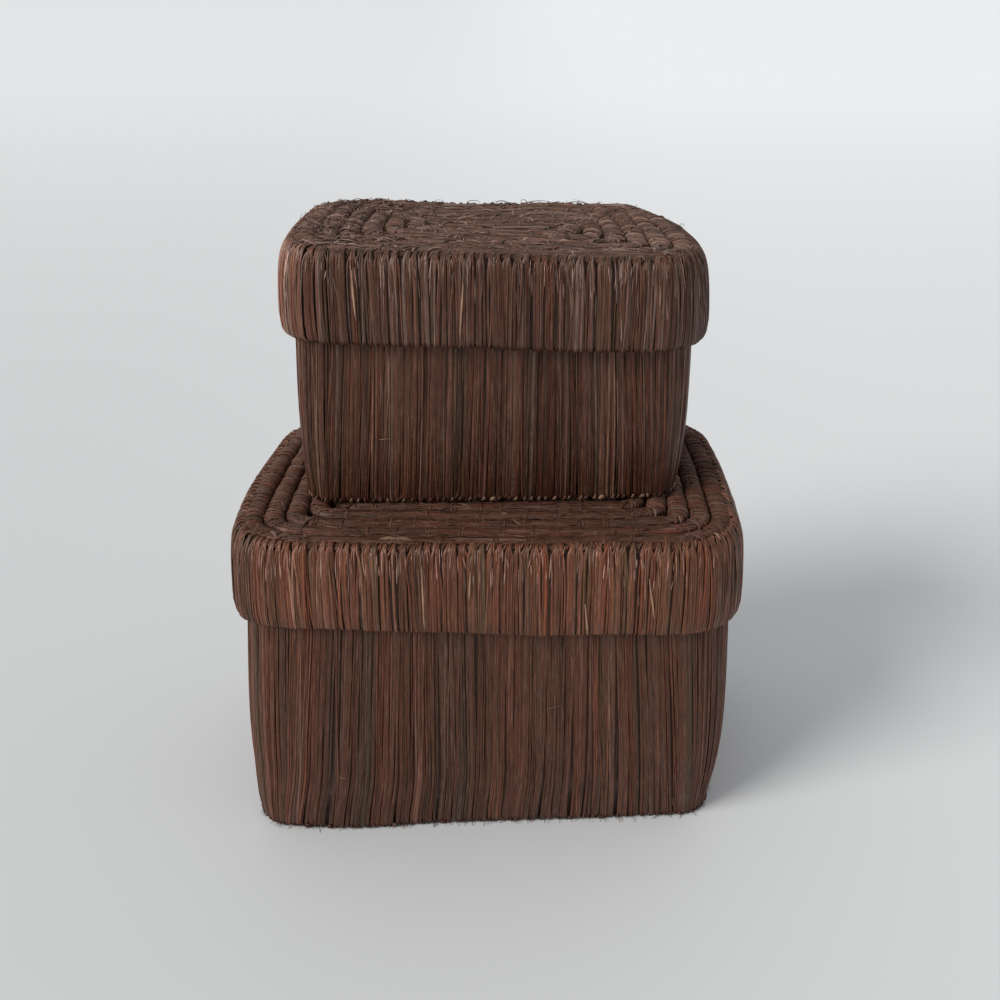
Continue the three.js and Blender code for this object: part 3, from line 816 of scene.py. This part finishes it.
def foot_knots(box, material):
    """The small knots along the body's lower edge."""
    name = f"{box.name}_foot_stitches"
    rng = dice(name)
    plan, bundle, foot = box.foot_plan, Bundle(), box.foot
    # The dark cord under the foot knots is painted shade
    cord(bundle, plan, FOOT_TAPER + 2.6, foot + 1.6, 1.3, SHADE_BACKING)
    places = knot_places(plan, FOOT_KNOT_SPACING)
    count = len(places)
    under = [(FOOT_TAPER + 3.2, foot + 0.75), (FOOT_TAPER + 1.6, foot + 0.55)]
    route = even_line(under + [(FOOT_TAPER + 0.35, foot + 1.2), (FOOT_TAPER + 0.1, foot + 2.6)], 0.6)
    tints = dye(rng, places, depth=KNOT_DEPTHS[box.name], pale=PALE_KNOTS[box.name], mottle=0.4)
    taper = 0.45 + 0.55 * np.sin(np.linspace(0, math.pi, len(route)))[None, :]
    lump = 1 + rng.uniform(0.4, 1.8, (count, 1)) * (rng.uniform(size=(count, 1)) < 0.15)
    width = rng.uniform(0.6, 1.0, (count, 1)) * taper * lump
    stitches(bundle, plan, places, route, 0.9, width, 0.42 * lump, tints, rng)

    # Frayed ends along the edge, and a few stray curls on the wall
    count = int(plan.length / FRAY_SPACING)
    t = np.linspace(0, 1, 5)[None, :]
    places = rng.uniform(0, plan.length, (count, 1))
    reach = rng.gamma(2.0, 0.7, (count, 1))
    inset = FOOT_TAPER + 0.5 - reach * t
    height = foot + 1.3 + rng.normal(0, 0.5, (count, 1)) * t - 0.7 * t * t
    lines, _ = plan.place(places + rng.normal(0, 1.2, (count, 1)) * t, inset, height)
    tints = dye(rng, places[:, 0], depth=0.5, pale=0.03, mottle=0.4)
    bundle.add(lines, UP, rng.uniform(0.1, 0.2, (count, 1)) * (1 - 0.5 * t), 0.1, tints, THIN)
    t, each = np.linspace(0, 1, 8)[None, :], (STRAY_CURLS, 1)
    places, heights = rng.uniform(0, plan.length, each), foot + rng.uniform(10, 75, each)
    places[0], heights[0] = 24.0, foot + 31
    inset = box.wall_shape(heights)[0] - 0.3 - 0.9 * np.sin(math.pi * t)
    bend = rng.uniform(-2, 2, each) * np.sin(2.5 * t)
    lines, normals = plan.place(places + rng.uniform(3, 7, each) * (t - 0.5), inset, heights + bend)
    tints = linear(PALE_STRAND) * rng.uniform(0.4, 0.8, each)
    bundle.add(lines, normals, 0.22 * (1 - 0.6 * t), 0.12, tints, THIN)
    bundle.make(name, f"{box.name}_body", [f"{box.name}_foot_knots"], "raffia_knots", material)


def coil_line(plan, edge, rows):
    """The middle line of a flat coil, its rows' two pitches, and its wedges.

    The wedges are the slim spaces beside the places where the outer and the innermost rows step
    inwards: the points of each one's middle line, and its half width at each.
    """
    pitch = (plan.depth / 2 - plan.bow - edge + ROW_GAP / 2) / (rows + 0.5)
    end_pitch = max(pitch, END_ROW_PITCH)
    first = edge + (pitch - ROW_GAP) / 2
    narrowing = 2 * (end_pitch - pitch)
    plans = [
        Plan(plan.centre, plan.width - (row + 0.5) * narrowing, plan.depth, plan.corner, plan.bow)
        for row in range(rows)
    ]
    start = plans[0].segment(first, 2, True, pitch, 2)[0]
    core = -plans[-1].segment(first + (rows - 1) * pitch, 2, True, pitch, 2)[0][0] - pitch / 2
    points = [[(-core, start[1])]]
    for row, row_plan in enumerate(plans):
        inset = first + row * pitch
        for side in (2, 3, 0, 1):
            if side != 2:
                points.append(row_plan.segment(inset, side, False, pitch, 24))
            points.append(row_plan.segment(inset, side, True, pitch, 12))
        level = plan.depth / 2 - plan.bow - inset
        points.append([(core, level), (-core, level - pitch)])
    line = np.vstack(points) + plan.centre
    x = np.linspace(-core, core, 16)
    half = pitch * (x + core) / (4 * core)
    outer = np.stack([-x, start[1] + (pitch - ROW_GAP) / 2 - half], axis=1)
    inner = np.stack([x, half - (pitch - ROW_GAP) / 2], axis=1)
    return line, pitch, end_pitch, [(side + plan.centre, half) for side in (outer, inner)]


class Rope:
    """A flat coil's rope: its middle line, its section, and the places where it is whipped round."""

    def __init__(self, box, which, rng):
        if which == "lid":
            self.plan, self.edge, rows, thick = box.lid_plan, COIL_EDGE, LID_ROWS[box.name], box.lid_rope
            self.middle, self.up = box.top - thick / 2, 1.0
        else:
            self.plan, self.edge, rows, thick = box.foot_plan, BASE_EDGE, BASE_ROWS[box.name], box.base_rope
            self.middle, self.up = box.foot + thick / 2, -1.0
        self.line, self.pitch, self.end_pitch, self.wedges = coil_line(self.plan, self.edge, rows)
        self.travelled, self.half_height = travel(self.line), thick / 2
        self.length, self.roundness, ragged = self.travelled[-1], ROUNDNESS[box.name], RAGGED[box.name]
        self.distance = np.linspace(0, self.length, int(self.length / COIL_STEP))

        # Whipped close together along the short sides, with a stitch now and then along the long ones
        distance = self.distance
        self.sideways = np.abs(self.on_line(distance)[1][:, 1])
        gap = np.interp(self.sideways, TURNING, [STITCH_SPACING[box.name], WHIP_SPACING[box.name]])
        density = np.cumsum(COIL_STEP / gap)
        whips = np.interp(np.arange(0.5, density[-1]), density, distance)
        self.aside = np.interp(whips, distance, self.sideways)
        scatter = np.interp(self.aside, TURNING, [1.3, 0.3 + 0.2 * ragged])
        self.whips = whips + rng.normal(0, 1, len(whips)) * scatter
        loose = self.whips[self.aside < MOSTLY_LONGWAYS]
        nearest = np.abs(distance[:, None] - loose[None, :]).min(axis=1)
        pinch = 1 - 0.09 * np.exp(-((nearest / 1.8) ** 2))
        swell = 1 + (0.03 + 0.03 * ragged) * waves(rng, distance, 9.0) + 0.02 * waves(rng, distance, 30.0)
        self.squeeze = pinch * swell

    def on_line(self, d):
        """The middle line's points at distances along it, and the way it runs there."""
        places = [np.clip(value, 0, self.length) for value in (d, d + 2.5, d - 2.5)]
        here, ahead, behind = [look_up(place, self.travelled, self.line) for place in places]
        return here, unit(ahead - behind)

    def half_width(self, forward):
        """Half the rope's width where it runs a given way. The rows are wider at the box's ends."""
        return (self.pitch + (self.end_pitch - self.pitch) * (1 - np.abs(forward[..., 0])) - ROW_GAP) / 2

    def surface(self, d, angle, grow):
        """Points on the rope at angles round its section, and the directions out of it."""
        centre, forward = self.on_line(d)
        squeeze = np.interp(d, self.distance, self.squeeze)
        side = np.stack([forward[..., 1], -forward[..., 0]], axis=-1)
        half = self.half_width(forward)
        power = 0.4 + (self.roundness - 0.4) * ease(0.7, 1.0, np.abs(forward[..., 1]))
        rise = np.sign(np.sin(angle)) * np.abs(np.sin(angle)) ** power
        out = np.cos(angle) * (half + grow) * squeeze
        height = self.middle + self.up * rise * (self.half_height + grow) * squeeze
        flat = side * (np.cos(angle) / half)[..., None]
        facing = unit(raised(flat, self.up * np.sin(angle) / self.half_height))
        return raised(centre + side * out[..., None], height), facing


def rope_heart(rope, bundle, rng, tones):
    """What lies under a coil's strands: the rope's dark heart, strips dark with painted shade, and its
    tapered ends.
    """
    plan, half_height = rope.plan, rope.half_height
    spot, forward = rope.on_line(rope.distance)
    heart, half_width = raised(spot, rope.middle), rope.half_width(forward) - 0.7
    bundle.add(heart[None], UP, half_width[None], half_height - 0.8, linear(CORD), ring(10))

    # Strips under the rows, so that the board doesn't show between them, dark as painted shade in the gaps
    reach = plan.depth / 2 - rope.edge - 3
    for y in np.arange(-reach, reach, 4.0):
        turned = max(abs(y) - plan.depth / 2 + plan.corner, 0) / plan.corner
        half_length = plan.width / 2 - rope.edge - 3 - plan.corner * (1 - math.sqrt(1 - turned**2))
        x = half_length * np.linspace(-1, 1, 9)
        strip = raised(np.stack([x, np.full_like(x, y)], axis=1) + plan.centre, 0.0)
        strip[:, 2] = rope.middle - rope.up * (half_height - 0.9)
        bundle.add(strip[None], UP, 2.5, 0.4, linear(SHADE_BACKING))

    # Tapered ends of the rope fill the wedges
    for wedge, half in rope.wedges:
        for angle in np.linspace(0.1, math.pi - 0.1, 6):
            rise = (half_height - 0.5) * np.sin(angle) ** 0.5 * np.clip(half / 1.5, 0, 1)
            flat = np.stack([wedge[:, 0], wedge[:, 1] + half * np.cos(angle)], axis=1)
            tints = dye(rng, wedge[:, 0], tones, mottle=0.1)[:1]
            line = raised(flat, rope.middle + rope.up * rise)
            bundle.add(line[None], rope.up * UP, (0.35 + half / 3)[None], 0.3, tints)


def rope_ribbons(rope, bundle, rng, tones, ragged):
    """Long flat ribbons round the side of the rope that shows, and thinner strands that come and go."""
    distance = rope.distance
    broad = np.linspace(-0.25, math.pi + 0.25, 7)
    narrow = np.linspace(0.5, math.pi - 0.5, 4)
    for angle, is_broad in [(a, True) for a in broad] + [(a, False) for a in narrow]:
        drift = 0.15 * waves(rng, distance, 24.0)
        grow = (-0.4 if is_broad else -0.22) + 0.12 * waves(rng, distance, 12.0)
        spot, facing = rope.surface(distance, angle + drift, grow)
        starts = np.arange(int(rope.length / RIBBON_LENGTH) + 3) * RIBBON_LENGTH
        pieces = dye(rng, starts, tones, mottle=0.1 + 0.12 * ragged)
        along = np.linspace(0, len(pieces) - 1.001, len(distance)) + rng.uniform(0, 0.9)
        tints = pieces[np.clip(along, 0, len(pieces) - 1).astype(int)]
        if is_broad:
            width, thick, section = 1.25 + 0.2 * waves(rng, distance, 11.0), 0.26, LENS
        else:
            width, thick, section = 0.06 + 0.5 * np.clip(0.1 + waves(rng, distance, 9.0), 0, 1), 0.24, THIN
        bundle.add(spot[None], facing[None], width[None], thick, tints[None], section)


def rope_whipping(rope, bundle, rng, tones, ragged):
    """One raised wrap beside the next on the short sides, and pairs of flat ones on the long ones."""
    t = np.linspace(0, 1, 9)[None, :]
    for offset, share in ((0.0, 1.0), (0.85, 0.5)):
        kept = (rng.uniform(size=len(rope.whips)) < share) | (rope.aside < MOSTLY_LONGWAYS)
        count = int(kept.sum())
        turned = ease(0.3, 0.8, rope.aside[kept])[:, None]
        slant = 0.8 + 2.8 * turned + rng.normal(0, 0.5 + 0.8 * ragged, (count, 1))
        d = rope.whips[kept][:, None] + offset * (1.6 - 0.6 * turned) + slant * (t - 0.5)
        d = np.clip(d + rng.normal(0, 0.5 * ragged, (count, 1)) * np.sin(TURN * t), 0, rope.length)
        grow = rng.normal(-0.15, 0.08 + 0.15 * ragged, (count, 1)) + 0.05 * turned
        spot, facing = rope.surface(d, -0.5 + (math.pi + 1.0) * t, grow)
        wide = rng.uniform(0.5 - 0.2 * ragged, 0.8, (count, 1)) * (0.8 + 0.2 * np.sin(math.pi * t))
        depth, mottle = 0.9 + 0.2 * turned.mean(), 0.12 + 0.33 * ragged
        tints = dye(rng, rope.whips[kept], tones, depth, 0.03 * ragged, mottle)
        section = LENS if offset == 0 else THIN
        bundle.add(spot, facing, wide * (1 - 0.4 * offset), 0.28 + 0.28 * turned, tints, section)


def rope_plaits(rope, bundle, rng, tones, share):
    """Broader strands plaited across the rows at the corners."""
    bends = rope.distance[(rope.sideways > 0.15) & (rope.sideways < 0.93)]
    count = int(len(bends) * share)
    t = np.linspace(-0.5, 0.5, 7)[None, :]
    centre, forward = rope.on_line(rng.choice(bends, count) + rng.uniform(-3, 3, count))
    turn = rng.choice([-1.0, 1.0], (count, 1)) * rng.uniform(0.5, 1.1, (count, 1))
    turn = turn + rng.normal(0, 0.2, (count, 1)) * t
    ahead = np.stack([np.cos(turn), np.sin(turn)], axis=-1) * forward[:, None, :1]
    ahead = ahead + np.stack([-np.sin(turn), np.cos(turn)], axis=-1) * forward[:, None, 1:]
    flat = centre[:, None, :] + ahead * (t * rng.uniform(6, 10, (count, 1)))[..., None]
    rise = rope.half_height - 0.7 + (0.75 + rng.normal(0, 0.12, (count, 1))) * np.cos(math.pi * t)
    wide = rng.uniform(0.6, 1.05, (count, 1)) * (0.6 + 0.4 * np.cos(math.pi * t))
    tints = dye(rng, rng.uniform(0, rope.length, count), tones, depth=1.05, mottle=0.2)
    bundle.add(raised(flat, rope.middle + rope.up * rise), rope.up * UP, wide, 0.26, tints)


def rope_fibres(rope, bundle, rng, tones, ragged, share):
    """Short loose fibres over the rows, more of them and higher at a ragged lid's left end."""
    count = int(rope.length * share)
    t = np.linspace(-0.5, 0.5, 7)[None, :]
    run = rng.uniform(3, 11, (count, 1))
    turn = rng.normal(0, 0.35 + 0.45 * ragged, (count, 1)) + rng.normal(0, 0.5, (count, 1)) * t
    leftwards = rope.plan.centre[0] - rope.on_line(rope.distance)[0][:, 0]
    worse = ease(20, 60, leftwards) * (ragged > 0.5)
    middles = rng.choice(rope.distance, (count, 1), p=(1 + 2 * worse) / (1 + 2 * worse).sum())
    middles = middles + rng.uniform(-2, 2, (count, 1))
    d = np.clip(middles + run * t * np.cos(turn), 0, rope.length)
    angle = rng.uniform(0.2, 0.8, (count, 1)) * math.pi + run * t * np.sin(turn) / (rope.end_pitch / 2)
    lift = rng.uniform(0, 0.3 + 0.5 * ragged, (count, 1)) * (1 + np.interp(middles, rope.distance, worse))
    spot, facing = rope.surface(d, angle, -0.15 + lift * np.cos(math.pi * t))
    wide = rng.uniform(0.14, 0.5, (count, 1)) * (0.4 + 0.6 * np.cos(math.pi * t))
    tints = dye(rng, d[:, 3], tones, 1.0 + 0.4 * ragged, 0.02 + 0.06 * ragged, 0.3 + 0.4 * ragged)
    bundle.add(spot, facing, wide, 0.16, tints, THIN)


def coil(box, which, material):
    """A flat coil of raffia rope: long strands, held by strands whipped round each row."""
    lid = which == "lid"
    name, body = f"{box.name}_{which}_coil_strands", f"{box.name}_{'lid' if lid else 'body'}"
    rng, bundle, ragged, tones = dice(name), Bundle(), RAGGED[box.name], COIL_TONES[box.name]
    rope = Rope(box, which, rng)
    rope_heart(rope, bundle, rng, tones)
    rope_ribbons(rope, bundle, rng, tones, ragged)
    rope_whipping(rope, bundle, rng, tones, ragged)
    rope_plaits(rope, bundle, rng, tones, 1.6 if lid else 0.8)
    rope_fibres(rope, bundle, rng, tones, ragged, 0.06 + 0.6 * ragged if lid else 0.06)
    bundle.make(name, body, [f"{box.name}_{which}_coil"], "raffia_coil", material)


def new_material(name):
    """A material with its nodes, its links and its shader."""
    material = bpy.data.materials.new(name)
    material.use_nodes = True
    tree = material.node_tree
    return material, tree.nodes, tree.links, tree.nodes["Principled BSDF"]


def add_node(nodes, kind, values):
    """A shader node, with values for its sockets."""
    node = nodes.new(kind)
    for socket, value in values.items():
        node.inputs[socket].default_value = value
    return node


def add_noise(nodes, scale, detail, rough=0.5):
    """A noise texture."""
    return add_node(nodes, "ShaderNodeTexNoise", {"Scale": scale, "Detail": detail, "Roughness": rough})


def add_bump(nodes, links, height, strength, distance):
    """A bump that follows a height."""
    bump = add_node(nodes, "ShaderNodeBump", {"Strength": strength, "Distance": distance})
    links.new(height, bump.inputs["Height"])
    return bump


def map_range(nodes, links, source, low, high, start, end, kind="LINEAR"):
    """A value that goes from low to high while its source goes from start to end."""
    ends = {"From Min": start, "From Max": end, "To Min": low, "To Max": high}
    spread = add_node(nodes, "ShaderNodeMapRange", ends)
    spread.interpolation_type = kind
    links.new(source, spread.inputs["Value"])
    return spread.outputs["Result"]


def coordinates(nodes, links, kind):
    """The three coordinates of a place on the object or in the world, each by itself."""
    place = nodes.new("ShaderNodeTexCoord")
    split = nodes.new("ShaderNodeSeparateXYZ")
    links.new(place.outputs[kind], split.inputs["Vector"])
    return split.outputs


def raffia(name, gloss):
    """Dyed raffia: fine fibres along each strand, pale streaks that are a painted sheen, and a soft sheen
    from the shader.
    """
    material, nodes, links, shader = new_material(name)
    shader.inputs["Specular IOR Level"].default_value = 0.5
    shader.inputs["Specular Tint"].default_value = (1.0, 0.74, 0.66, 1)
    tint = nodes.new("ShaderNodeAttribute")
    tint.attribute_name = "tint"
    fibre = nodes.new("ShaderNodeAttribute")
    fibre.attribute_name = "fibre"

    def noise(scale, detail, rough=0.5):
        stretch = nodes.new("ShaderNodeVectorMath")
        stretch.operation = "MULTIPLY"
        stretch.inputs[1].default_value = scale
        links.new(fibre.outputs["Vector"], stretch.inputs[0])
        texture = add_noise(nodes, 1.0, detail, rough)
        links.new(stretch.outputs["Vector"], texture.inputs["Vector"])
        return texture.outputs["Fac"]

    fibres = noise((0.1, 1.5, 1.0), 4.0, 0.65)
    streaks = noise((0.1, 0.7, 1.3), 3.0, 0.6)
    kinks = noise((0.3, 0.5, 1.7), 2.0)
    dyed = nodes.new("ShaderNodeVectorMath")
    dyed.operation = "SCALE"
    links.new(tint.outputs["Color"], dyed.inputs[0])
    links.new(map_range(nodes, links, fibres, 0.5, 1.5, 0.34, 0.66), dyed.inputs["Scale"])
    # Painted highlight: pale pinkish streaks mixed into the colour along the strands
    paling = nodes.new("ShaderNodeMix")
    paling.data_type = "RGBA"
    paling.inputs["B"].default_value = (*linear(SHEEN_STREAK), 1)
    links.new(map_range(nodes, links, streaks, 0.0, 0.3, 0.52, 0.75), paling.inputs["Factor"])
    links.new(dyed.outputs["Vector"], paling.inputs["A"])
    links.new(paling.outputs["Result"], shader.inputs["Base Color"])
    roughness = map_range(nodes, links, streaks, gloss + 0.12, gloss - 0.1, 0.3, 0.7)
    links.new(roughness, shader.inputs["Roughness"])
    coarse = add_bump(nodes, links, kinks, 0.8, 0.0007)
    fine = add_bump(nodes, links, fibres, 0.6, 0.00022)
    links.new(coarse.outputs["Normal"], fine.inputs["Normal"])
    links.new(fine.outputs["Normal"], shader.inputs["Normal"])
    return material


def card_material():
    """Grey-brown pulp card, with fine flecks."""
    material, nodes, links, shader = new_material("card")
    shader.inputs["Roughness"].default_value = 0.85
    place = nodes.new("ShaderNodeTexCoord")
    flecks = add_noise(nodes, 900.0, 4.0)
    links.new(place.outputs["Object"], flecks.inputs["Vector"])
    ramp = nodes.new("ShaderNodeValToRGB")
    for element, position, code in zip(ramp.color_ramp.elements, (0.32, 0.62), CARD_TONES):
        element.position = position
        element.color = (*linear(code), 1)
    links.new(flecks.outputs["Fac"], ramp.inputs["Fac"])
    links.new(ramp.outputs["Color"], shader.inputs["Base Color"])
    bump = add_bump(nodes, links, flecks.outputs["Fac"], 0.25, 0.0002)
    links.new(bump.outputs["Normal"], shader.inputs["Normal"])
    return material


def card_piece(node, body, material):
    """A card band or board, settled like the raffia round it."""
    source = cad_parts[node]
    mesh = source.data.copy()
    points = np.empty(3 * len(mesh.vertices))
    mesh.vertices.foreach_get("co", points)
    place = np.array(source.matrix_world)
    points = points.reshape(-1, 3) @ place[:3, :3].T + place[:3, 3]
    mesh.vertices.foreach_set("co", (settle(body, points / METRES) * METRES).ravel())
    mesh.materials.clear()
    mesh.materials.append(material)
    piece = new_object(f"{node}_sheet", mesh)
    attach(piece, body)
    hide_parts(node)


def floor_material():
    """A plain pale floor, with painted light that makes it a little brighter far off and to the right."""
    material, nodes, links, shader = new_material("floor")
    shader.inputs["Roughness"].default_value = 0.8
    place = coordinates(nodes, links, "Object")
    rightwards = map_range(nodes, links, place["X"], 0.69, 0.78, -0.4, 0.4, "SMOOTHSTEP")
    backwards = map_range(nodes, links, place["Y"], 0.0, 0.19, -0.1, 2.6, "SMOOTHSTEP")
    total = nodes.new("ShaderNodeMath")
    links.new(rightwards, total.inputs[0])
    links.new(backwards, total.inputs[1])
    tinge = nodes.new("ShaderNodeVectorMath")
    tinge.operation = "SCALE"
    tinge.inputs[0].default_value = FLOOR_TINGE
    links.new(total.outputs["Value"], tinge.inputs["Scale"])
    links.new(tinge.outputs["Vector"], shader.inputs["Base Color"])
    return material


def stage():
    """A pale floor, soft light from the upper left in front, and the camera at the photo's angle."""
    bpy.ops.mesh.primitive_plane_add(size=12, location=(0, 0, 0))
    floor = bpy.context.object
    floor.name = "floor"
    floor.data.materials.append(floor_material())

    data = bpy.data.lights.new("window", "SUN")
    data.energy, data.angle, data.color = 2.15, math.radians(LIGHT_SPREAD), (1.0, 0.985, 0.96)
    window = new_object("window", data)
    x, y, z = LIGHT_DIRECTION
    down = math.atan2(-z, math.hypot(x, y))
    window.rotation_euler = (math.pi / 2 - down, 0, math.atan2(y, x) - math.pi / 2)

    # The room's light, brighter from the back than from the front
    world = bpy.data.worlds.new("room light")
    world.use_nodes = True
    bpy.context.scene.world = world
    nodes, links = world.node_tree.nodes, world.node_tree.links
    sky = nodes["Background"]
    sky.inputs["Color"].default_value = (0.93, 0.95, 0.97, 1)
    backwards = coordinates(nodes, links, "Generated")["Y"]
    links.new(map_range(nodes, links, backwards, 0.28, 0.78, -1.0, 1.0), sky.inputs["Strength"])

    data = bpy.data.cameras.new("camera")
    data.sensor_width, data.lens = CAMERA_SENSOR, CAMERA_LENS
    camera = new_object("camera", data)
    camera.location = CAMERA_PLACE
    camera.rotation_euler = (math.pi / 2 - CAMERA_TILT, 0, 0)
    bpy.context.scene.camera = camera
    bpy.context.scene.view_settings.view_transform = "Standard"


stage()
wall_finish = raffia("raffia_wall", 0.46)
skirt_finish = raffia("raffia_skirt", 0.37)
coil_finish = raffia("raffia_coil", 0.55)
knot_finish = raffia("raffia_knots", 0.5)
card = card_material()

for box in (Box("large"), Box("small")):
    body_wall(box, wall_finish)
    foot_knots(box, knot_finish)
    coil(box, "base", coil_finish)
    lid_skirt(box, skirt_finish)
    lid_knots(box, knot_finish)
    coil(box, "lid", coil_finish)

for size in ("large", "small"):
    for part, body in CARD_PIECES:
        card_piece(f"{size}_{part}", f"{size}_{body}", card)
